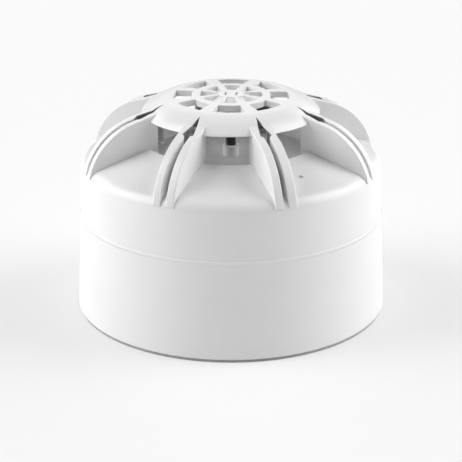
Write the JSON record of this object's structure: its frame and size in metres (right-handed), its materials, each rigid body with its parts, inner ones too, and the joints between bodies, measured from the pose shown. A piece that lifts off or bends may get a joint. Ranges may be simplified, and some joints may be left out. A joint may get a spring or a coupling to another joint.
{
  "type": "heat detector",
  "caption": "White point heat detector: bead sensor under a slotted, finned dome, twist-off head on a deep battery-powered radio base, for ceiling or wall fixing",
  "frame": {"origin": "centre of the face that meets the ceiling or wall, at the bottom of the bounding box", "axes": "+Z is the detector's axis, from the mounting face towards the sensing dome; -Y is the bay that faces the viewer; the two fixing slots lie on the Y axis and the battery cells run along X"},
  "size_m": [0.11, 0.11, 0.077],
  "materials": {
    "cover_plastic": "satin white moulded ABS",
    "chamber_white": "white moulded plastic",
    "chamber_grey": "grey moulded plastic, slightly glossy",
    "sensor_black": "black epoxy coating",
    "tinned_wire": "tinned wire",
    "board_green": "green solder mask on glass-epoxy board",
    "chip_black": "black moulded package",
    "capacitor_can": "drawn aluminium can",
    "led_clear": "tinted clear lens",
    "light_pipe_acrylic": "clear acrylic",
    "chassis_plastic": "off-white moulded plastic",
    "screw_steel": "zinc-plated steel",
    "gasket_rubber": "grey foam rubber",
    "shield_can": "tinned steel can",
    "tray_black": "black moulded plastic",
    "contact_nickel": "nickel-plated spring strip",
    "contact_brass": "brass blade",
    "plunger_red": "red moulded plastic",
    "cell_wrap": "plain blue plastic sleeve"
  },
  "bodies": {
    "base": {"base_shell": "cover_plastic", "wall_gasket": "gasket_rubber", "bayonet_ring": "chassis_plastic", "ring_screws": "screw_steel", "radio_board": "board_green", "radio_module": "shield_can", "antenna": "tinned_wire", "battery_tray": "tray_black", "battery_contacts": "contact_nickel", "contact_carrier": "tray_black", "tamper_switch": "chip_black", "base_contact_1": "contact_nickel", "base_contact_2": "contact_nickel", "base_contact_3": "contact_nickel", "base_contact_4": "contact_nickel", "battery_cell_1": "cell_wrap", "battery_cell_2": "cell_wrap", "battery_cell_3": "cell_wrap", "battery_cell_4": "cell_wrap"},
    "head": {"outer_cover": "cover_plastic", "air_guide": "chamber_white", "chamber_plate": "chamber_grey", "thermistor_holder": "chamber_white", "thermistor_bead": "sensor_black", "thermistor_leads": "tinned_wire", "main_board": "board_green", "microcontroller": "chip_black", "capacitors": "capacitor_can", "status_led": "led_clear", "light_pipe": "light_pipe_acrylic", "head_chassis": "chassis_plastic", "chassis_screws": "screw_steel", "head_blade_1": "contact_brass", "head_blade_2": "contact_brass", "head_blade_3": "contact_brass", "head_blade_4": "contact_brass"},
    "plunger": {"tamper_plunger": "plunger_red"}
  },
  "joints": [
    {"name": "head_twist", "type": "hinge", "parent": "base", "child": "head", "pos_m": [0, 0, 0.0305], "axis": [0, 0, 1], "range_deg": [0, 20]},
    {"name": "tamper_travel", "type": "slide", "parent": "base", "child": "plunger", "axis": [0, 0, 1], "range_m": [0, 0.0015]}
  ],
  "couplings": [
    {"joint": "tamper_travel", "follows": "head_twist", "m_per_rad": 0.004297}
  ]
}
